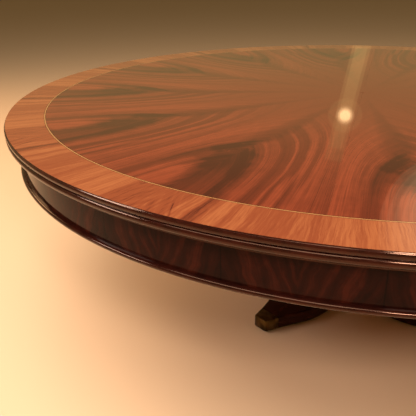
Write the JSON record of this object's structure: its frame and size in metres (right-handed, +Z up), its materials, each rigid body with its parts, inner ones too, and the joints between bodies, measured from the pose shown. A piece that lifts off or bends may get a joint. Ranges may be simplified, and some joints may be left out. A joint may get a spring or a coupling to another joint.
{
  "type": "round pedestal table",
  "caption": "Large round pedestal dining table: radially veneered top with string inlay and crossbanding, beaded rim, veneered hoop apron, turned column and a low platform of four shaped arms with brass toe caps.",
  "frame": {"origin": "on the floor, under the middle of the top", "axes": "+Z up; the platform's arms point 56, 146, 236 and 326 degrees round from +X; the viewer of the front stands on the -Y side"},
  "size_m": [2.2922, 2.2922, 0.737],
  "materials": {
    "crotch_veneer": "high-gloss lacquer over crotch mahogany",
    "crossband": "high-gloss lacquer over straight-grained mahogany",
    "string": "high-gloss lacquer over satinwood",
    "mahogany": "dark stained solid mahogany, gloss lacquer",
    "core_board": "raw board",
    "bearer_wood": "stained, satin",
    "steel": "zinc plated",
    "brass": "aged, lacquered"
  },
  "bodies": {
    "table": {"apron_bead": "mahogany", "apron_core_1": "core_board", "apron_core_2": "core_board", "apron_core_3": "core_board", "apron_core_4": "core_board", "apron_veneer": "crotch_veneer", "balance_veneer": "bearer_wood", "base_plate": "steel", "bearer_left": "bearer_wood", "bearer_right": "bearer_wood", "bearer_screw_1": "steel", "bearer_screw_2": "steel", "bearer_screw_3": "steel", "bearer_screw_4": "steel", "block_screw_1": "steel", "block_screw_2": "steel", "block_screw_3": "steel", "block_screw_4": "steel", "column": "mahogany", "column_foot": "mahogany", "crossband_border": "crossband", "edge_moulding": "mahogany", "field_veneer_01": "crotch_veneer", "field_veneer_02": "crotch_veneer", "field_veneer_03": "crotch_veneer", "field_veneer_04": "crotch_veneer", "field_veneer_05": "crotch_veneer", "field_veneer_06": "crotch_veneer", "field_veneer_07": "crotch_veneer", "field_veneer_08": "crotch_veneer", "field_veneer_09": "crotch_veneer", "field_veneer_10": "crotch_veneer", "field_veneer_11": "crotch_veneer", "field_veneer_12": "crotch_veneer", "glide_socket_1": "steel", "glide_socket_2": "steel", "glide_socket_3": "steel", "glide_socket_4": "steel", "mounting_block": "bearer_wood", "platform_arm_1": "mahogany", "platform_arm_2": "mahogany", "platform_arm_3": "mahogany", "platform_arm_4": "mahogany", "string_inlay": "string", "tie_nut_lower": "steel", "tie_nut_upper": "steel", "tie_rod": "steel", "tie_washer_upper": "steel", "toe_cap_1": "brass", "toe_cap_2": "brass", "toe_cap_3": "brass", "toe_cap_4": "brass", "top_core": "core_board"},
    "glide_1": {"levelling_glide_1": "steel"},
    "glide_2": {"levelling_glide_2": "steel"},
    "glide_3": {"levelling_glide_3": "steel"},
    "glide_4": {"levelling_glide_4": "steel"}
  },
  "joints": [
    {"name": "glide_1_screw", "type": "slide", "parent": "table", "child": "glide_1", "axis": [0, 0, -1], "range_m": [0, 0.01]},
    {"name": "glide_2_screw", "type": "slide", "parent": "table", "child": "glide_2", "axis": [0, 0, -1], "range_m": [0, 0.01]},
    {"name": "glide_3_screw", "type": "slide", "parent": "table", "child": "glide_3", "axis": [0, 0, -1], "range_m": [0, 0.01]},
    {"name": "glide_4_screw", "type": "slide", "parent": "table", "child": "glide_4", "axis": [0, 0, -1], "range_m": [0, 0.01]}
  ]
}
